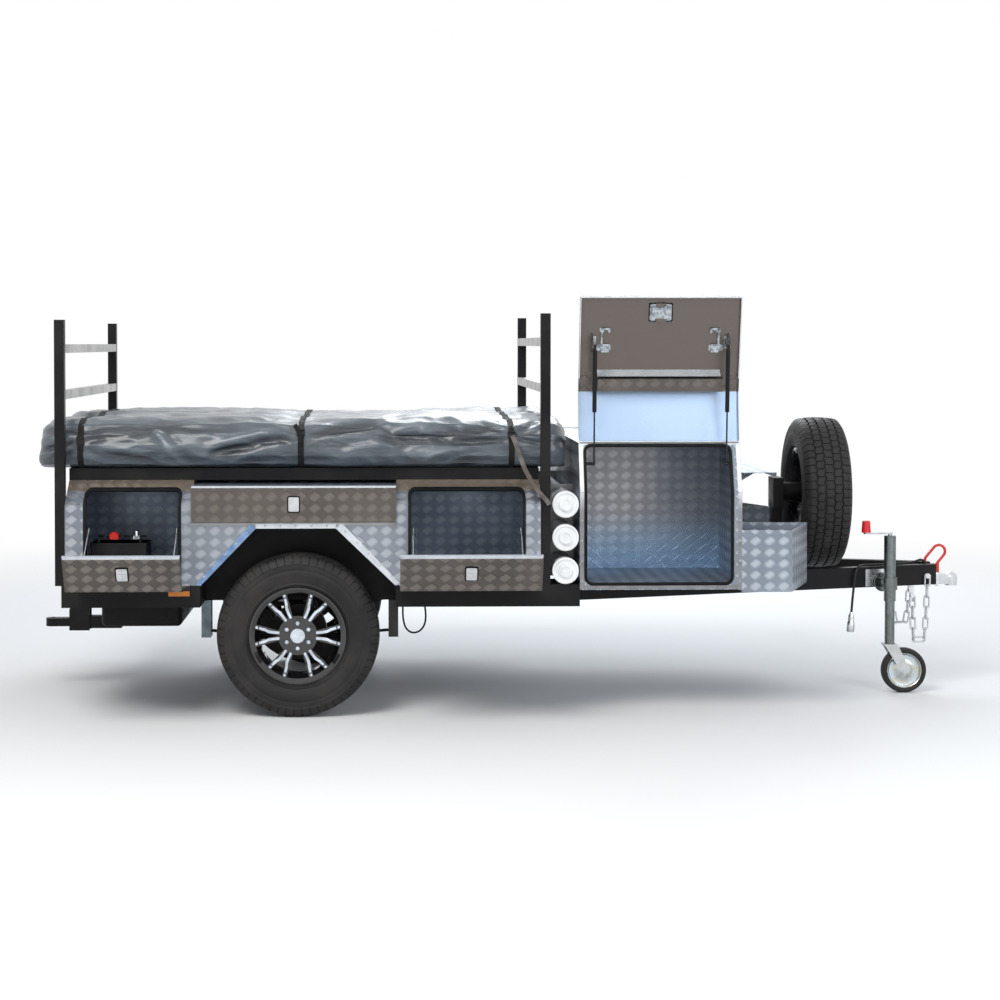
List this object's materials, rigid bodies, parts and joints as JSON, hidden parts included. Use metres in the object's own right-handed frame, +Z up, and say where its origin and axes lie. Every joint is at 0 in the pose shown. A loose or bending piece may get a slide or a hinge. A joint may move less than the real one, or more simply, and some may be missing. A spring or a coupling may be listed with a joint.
{
  "type": "camper trailer",
  "caption": "Off-road single-axle camper trailer with strapped tent bundle, side toolboxes, lidded front box, spare wheel, A-frame drawbar and jockey wheel.",
  "frame": {"origin": "on the ground under the middle of the trailer's overall box", "axes": "+X towards the coupling, +Z up, +Y towards the far side"},
  "size_m": [4.566, 2.814, 1.9294],
  "materials": {
    "checker_plate": "bright treadplate with a raised pattern",
    "black_steel": "satin black paint",
    "galvanised": "dull zinc coating",
    "silver_aluminium": "satin",
    "rim_alloy": "gloss black with machined faces",
    "tyre_rubber": "matt rubber",
    "white_pvc": "gloss white",
    "tent_cover": "coated fabric with a soft sheen",
    "red_coating": "gloss red",
    "black_plastic": "matt moulded",
    "lamp_lens": "gloss lens",
    "castor_rubber": "matt rubber"
  },
  "bodies": {
    "root": {"chassis_rails": "black_steel", "cross_beams": "black_steel", "drawbar_rails": "black_steel", "coupling_head": "galvanised", "coupling_handle": "red_coating", "axle_beam": "black_steel", "leaf_springs": "black_steel", "spring_hangers": "galvanised", "side_skin_near": "checker_plate", "side_skin_far": "checker_plate", "floors": "checker_plate", "arch_liners": "black_steel", "toolbox_walls": "checker_plate", "centre_boxes": "checker_plate", "end_walls": "checker_plate", "top_frame": "black_steel", "rack_posts": "black_steel", "rack_slats": "silver_aluminium", "tent_bundle": "tent_cover", "box_shell": "checker_plate", "box_ends": "checker_plate", "box_partitions": "checker_plate", "strut_brackets": "galvanised", "door_hinges": "silver_aluminium", "storage_tubes": "white_pvc", "tube_plates": "silver_aluminium", "front_holders": "checker_plate", "front_tray": "black_steel", "front_shelf": "checker_plate", "spare_carrier": "black_steel", "rim_spare": "rim_alloy", "tyre_spare": "tyre_rubber", "jockey_bracket": "galvanised", "safety_chains": "galvanised", "battery": "black_plastic", "lamps": "lamp_lens", "rear_hitch": "black_steel", "water_tank": "black_plastic"},
    "wheel_near": {"rim_near": "rim_alloy", "tyre_near": "tyre_rubber", "drum_near": "black_steel"},
    "wheel_far": {"rim_far": "rim_alloy", "tyre_far": "tyre_rubber", "drum_far": "black_steel"},
    "door_rear_near": {"door_rear_near": "checker_plate"},
    "door_rear_far": {"door_rear_far": "checker_plate"},
    "door_front_near": {"door_front_near": "checker_plate"},
    "door_front_far": {"door_front_far": "checker_plate"},
    "door_centre_near": {"door_centre_near": "checker_plate"},
    "door_centre_far": {"door_centre_far": "checker_plate"},
    "tailgate": {"tailgate": "checker_plate"},
    "lid_near": {"box_lid_near": "checker_plate"},
    "lid_far": {"box_lid_far": "checker_plate"},
    "strut_cylinder": {"strut_cylinders": "black_steel"},
    "strut_rod": {"strut_rods": "galvanised"},
    "jockey_tube": {"jockey_tube": "galvanised"},
    "jockey_leg": {"jockey_leg": "galvanised"},
    "jockey_fork": {"jockey_fork": "galvanised"},
    "jockey_wheel": {"jockey_wheel": "castor_rubber"},
    "jockey_crank": {"jockey_crank": "galvanised"}
  },
  "joints": [
    {"name": "wheel_near_spin", "type": "hinge", "parent": "root", "child": "wheel_near", "pos_m": [-0.992, -0.81, 0.375], "axis": [0, 1, 0], "continuous": true},
    {"name": "wheel_far_spin", "type": "hinge", "parent": "root", "child": "wheel_far", "pos_m": [-0.992, 0.81, 0.375], "axis": [0, 1, 0], "continuous": true},
    {"name": "door_rear_near_hinge", "type": "hinge", "parent": "root", "child": "door_rear_near", "pos_m": [-1.733, -0.934, 0.612], "axis": [-1, 0, 0], "range_deg": [0, 85]},
    {"name": "door_rear_far_hinge", "type": "hinge", "parent": "root", "child": "door_rear_far", "pos_m": [-1.733, 0.934, 0.612], "axis": [1, 0, 0], "range_deg": [0, 85]},
    {"name": "door_front_near_hinge", "type": "hinge", "parent": "root", "child": "door_front_near", "pos_m": [-0.212, -0.934, 0.612], "axis": [-1, 0, 0], "range_deg": [0, 85]},
    {"name": "door_front_far_hinge", "type": "hinge", "parent": "root", "child": "door_front_far", "pos_m": [-0.212, 0.934, 0.612], "axis": [1, 0, 0], "range_deg": [0, 85]},
    {"name": "door_centre_near_hinge", "type": "hinge", "parent": "root", "child": "door_centre_near", "pos_m": [-1.0055, -0.934, 0.897], "axis": [1, 0, 0], "range_deg": [0, 90]},
    {"name": "door_centre_far_hinge", "type": "hinge", "parent": "root", "child": "door_centre_far", "pos_m": [-1.0055, 0.934, 0.897], "axis": [-1, 0, 0], "range_deg": [0, 90]},
    {"name": "tailgate_hinge", "type": "hinge", "parent": "root", "child": "tailgate", "pos_m": [-2.05, 0, 0.636], "axis": [0, -1, 0], "range_deg": [0, 90]},
    {"name": "lid_near_hinge", "type": "hinge", "parent": "root", "child": "lid_near", "pos_m": [0.6715, -0.8495, 1.257], "axis": [1, 0, 0], "range_deg": [0, 166.2]},
    {"name": "lid_far_hinge", "type": "hinge", "parent": "root", "child": "lid_far", "pos_m": [0.6715, 0.8495, 1.257], "axis": [1, 0, 0], "range_deg": [0, 166.2]},
    {"name": "strut_pivot", "type": "hinge", "parent": "lid_near", "child": "strut_cylinder", "pos_m": [0.6715, -0.92999, 1.69999], "axis": [1, 0, 0], "range_deg": [-1, 5.69]},
    {"name": "strut_slide", "type": "slide", "parent": "strut_cylinder", "child": "strut_rod", "axis": [0, 0.083, -0.9965], "range_m": [-0.2005, 0.002]},
    {"name": "jockey_swing", "type": "hinge", "parent": "root", "child": "jockey_tube", "pos_m": [1.85451, -0.18521, 0.535], "axis": [-0.3117, 0.9502, 0], "range_deg": [0, 90]},
    {"name": "jockey_screw", "type": "slide", "parent": "jockey_tube", "child": "jockey_leg", "axis": [0, 0, 1], "range_m": [0, 0.2]},
    {"name": "jockey_swivel", "type": "hinge", "parent": "jockey_leg", "child": "jockey_fork", "pos_m": [1.881, -0.26598, 0.24], "axis": [0, 0, 1], "continuous": true},
    {"name": "jockey_wheel_spin", "type": "hinge", "parent": "jockey_fork", "child": "jockey_wheel", "pos_m": [1.95, -0.26598, 0.11], "axis": [0, 1, 0], "continuous": true},
    {"name": "jockey_crank_turn", "type": "hinge", "parent": "jockey_tube", "child": "jockey_crank", "pos_m": [1.881, -0.26598, 0.778], "axis": [0, 0, 1], "continuous": true}
  ],
  "couplings": [
    {"joint": "strut_pivot", "follows": "lid_near_hinge", "ratio": 0.028248},
    {"joint": "strut_slide", "follows": "lid_near_hinge", "m_per_rad": -0.068421}
  ]
}
